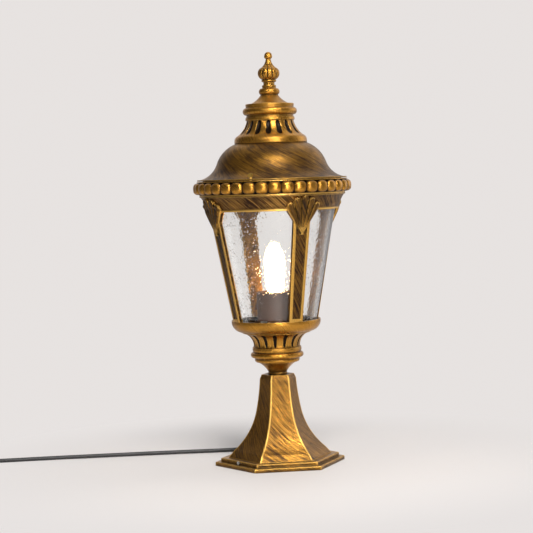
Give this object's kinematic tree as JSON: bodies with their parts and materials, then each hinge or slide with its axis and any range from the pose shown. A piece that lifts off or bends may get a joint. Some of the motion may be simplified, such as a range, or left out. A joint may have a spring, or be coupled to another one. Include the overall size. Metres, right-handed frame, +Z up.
{
  "type": "pedestal gate lantern",
  "caption": "Outdoor pedestal lantern for a gate pillar: hexagonal flared foot, turned column, conical glass between palmette posts, beaded rim, domed lift-off roof with finial.",
  "frame": {"origin": "centre of the hexagonal foot's underside, on the lantern's axis", "axes": "+Z up the lantern's axis, -Y out of the front flat of the hexagonal foot, the cable leaves at +Y"},
  "size_m": [0.545, 0.2043, 0.5],
  "materials": {
    "bronze": "antique gold brushed over dark brown paint",
    "zinc_steel": "zinc plated",
    "brass": "satin",
    "nickel": "nickel plated",
    "clear_glass": "clear with fine seeds",
    "filament": "glowing",
    "seal_rubber": "matt",
    "cable_rubber": "satin",
    "plug_plastic": "satin moulded",
    "sleeve_plastic": "satin dark brown",
    "ceramic": "glazed ceramic",
    "block_plastic": "moulded",
    "live_insulation": "extruded",
    "neutral_insulation": "extruded",
    "earth_insulation": "extruded"
  },
  "bodies": {
    "lantern": {"foot": "bronze", "pedestal": "bronze", "neck": "bronze", "knop": "bronze", "cup": "bronze", "gallery": "bronze", "cage_post_1": "bronze", "cage_post_2": "bronze", "cage_post_3": "bronze", "cage_post_4": "bronze", "frieze": "bronze", "bead_rim": "bronze", "mount_plate": "zinc_steel", "foot_screws": "zinc_steel", "side_screws": "zinc_steel", "stem_tube": "zinc_steel", "stem_washer_lower": "zinc_steel", "stem_nut_lower": "zinc_steel", "stem_washer_upper": "zinc_steel", "stem_nut_upper": "zinc_steel", "frieze_screws": "zinc_steel", "rim_screws": "zinc_steel", "glass_clips": "zinc_steel", "clip_screws": "zinc_steel", "earth_tag": "zinc_steel", "holder_shell": "brass", "holder_contact": "brass", "terminal_screws": "brass", "plug_pins": "nickel", "glass": "clear_glass", "glass_seal_lower": "seal_rubber", "glass_seal_upper": "seal_rubber", "strain_relief": "seal_rubber", "inner_cable": "cable_rubber", "supply_cable": "cable_rubber", "cable_coil": "cable_rubber", "cable_tail": "cable_rubber", "plug_body": "plug_plastic", "holder_sleeve": "sleeve_plastic", "lampholder": "ceramic", "terminal_block": "block_plastic", "live_wire": "live_insulation", "neutral_wire": "neutral_insulation", "earth_wire": "earth_insulation"},
    "roof": {"roof_dome": "bronze", "roof_gasket": "seal_rubber", "crown_skirt": "bronze", "crown_collar": "bronze", "finial_base": "bronze", "finial": "bronze", "roof_rod": "zinc_steel", "roof_washer": "zinc_steel", "roof_nut": "zinc_steel"},
    "thumb_screw_left": {"thumb_screw_1": "brass"},
    "thumb_screw_back": {"thumb_screw_2": "brass"},
    "lamp": {"lamp_cap": "nickel", "lamp_envelope": "clear_glass", "lamp_stem": "clear_glass", "lamp_filaments": "filament"}
  },
  "joints": [
    {"name": "roof_lift", "type": "slide", "parent": "lantern", "child": "roof", "axis": [0, 0, 1], "range_m": [0, 0.12]},
    {"name": "thumb_screw_left_turn", "type": "hinge", "parent": "roof", "child": "thumb_screw_left", "pos_m": [-0.03514, -0.07893, 0.345], "axis": [0, 0, 1], "continuous": true},
    {"name": "thumb_screw_back_turn", "type": "hinge", "parent": "roof", "child": "thumb_screw_back", "pos_m": [0.03514, 0.07893, 0.345], "axis": [0, 0, 1], "continuous": true},
    {"name": "lamp_turn", "type": "hinge", "parent": "lantern", "child": "lamp", "pos_m": [0, 0, 0.2], "axis": [0, 0, 1], "continuous": true}
  ]
}
